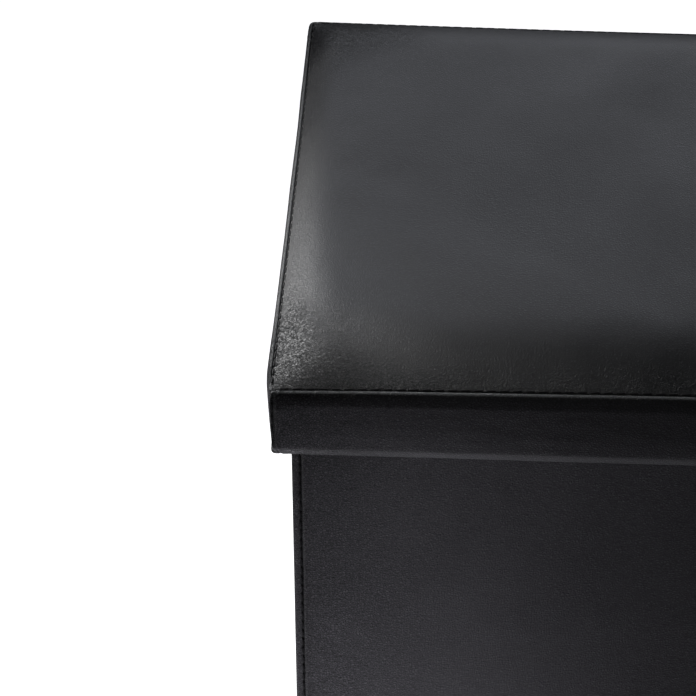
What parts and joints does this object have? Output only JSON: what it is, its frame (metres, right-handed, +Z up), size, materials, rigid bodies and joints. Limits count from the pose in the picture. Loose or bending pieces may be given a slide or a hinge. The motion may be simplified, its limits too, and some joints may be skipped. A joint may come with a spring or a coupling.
{
  "type": "storage ottoman",
  "caption": "Folding storage ottoman bench in black faux leather, with a padded lift-off lid and end walls that fold inwards.",
  "frame": {"origin": "centre of the footprint, on the floor", "axes": "+X along the width, +Z up, the front faces -Y"},
  "size_m": [0.76, 0.38, 0.38],
  "materials": {
    "leather": "satin",
    "cloth": "matte",
    "fibreboard": "matte",
    "foam": "matte"
  },
  "bodies": {
    "base": {"bottom_underside_cloth": "cloth", "bottom_board": "fibreboard", "bottom_lining": "cloth", "back_wall_leather": "leather", "back_wall_board": "fibreboard", "back_wall_lining": "cloth"},
    "left_rear_wall": {"left_rear_wall_leather": "leather", "left_rear_wall_board": "fibreboard", "left_rear_wall_lining": "cloth"},
    "left_front_wall": {"left_front_wall_leather": "leather", "left_front_wall_board": "fibreboard", "left_front_wall_lining": "cloth"},
    "right_rear_wall": {"right_rear_wall_leather": "leather", "right_rear_wall_board": "fibreboard", "right_rear_wall_lining": "cloth"},
    "right_front_wall": {"right_front_wall_leather": "leather", "right_front_wall_board": "fibreboard", "right_front_wall_lining": "cloth"},
    "front_wall": {"front_wall_leather": "leather", "front_wall_board": "fibreboard", "front_wall_lining": "cloth"},
    "lid": {"lid_top_leather": "leather", "lid_foam_pad": "foam", "lid_board": "fibreboard", "lid_underside_lining": "cloth", "lid_skirt_right": "leather", "lid_skirt_stiffener_right": "fibreboard", "lid_skirt_back": "leather", "lid_skirt_stiffener_back": "fibreboard", "lid_skirt_left": "leather", "lid_skirt_stiffener_left": "fibreboard", "lid_skirt_front": "leather", "lid_skirt_stiffener_front": "fibreboard"}
  },
  "joints": [
    {"name": "left_rear_fold", "type": "hinge", "parent": "base", "child": "left_rear_wall", "pos_m": [-0.3584, 0.1679, 0.17], "axis": [0, 0, 1], "range_deg": [0, 86]},
    {"name": "left_middle_fold", "type": "hinge", "parent": "left_rear_wall", "child": "left_front_wall", "pos_m": [-0.3665, 0, 0.17], "axis": [0, 0, 1], "range_deg": [-172, 0]},
    {"name": "front_corner_fold", "type": "hinge", "parent": "left_front_wall", "child": "front_wall", "pos_m": [-0.3584, -0.1679, 0.17], "axis": [0, 0, 1], "range_deg": [0, 86]},
    {"name": "right_rear_fold", "type": "hinge", "parent": "base", "child": "right_rear_wall", "pos_m": [0.3584, 0.1679, 0.17], "axis": [0, 0, 1], "range_deg": [-86, 0]},
    {"name": "right_middle_fold", "type": "hinge", "parent": "right_rear_wall", "child": "right_front_wall", "pos_m": [0.3665, 0, 0.17], "axis": [0, 0, 1], "range_deg": [0, 172]},
    {"name": "lid_lift", "type": "slide", "parent": "base", "child": "lid", "axis": [0, 0, 1], "range_m": [0, 0.3]}
  ],
  "couplings": [
    {"joint": "left_middle_fold", "follows": "left_rear_fold", "ratio": -2},
    {"joint": "front_corner_fold", "follows": "left_rear_fold", "ratio": 1},
    {"joint": "right_rear_fold", "follows": "left_rear_fold", "ratio": -1},
    {"joint": "right_middle_fold", "follows": "left_rear_fold", "ratio": 2}
  ]
}
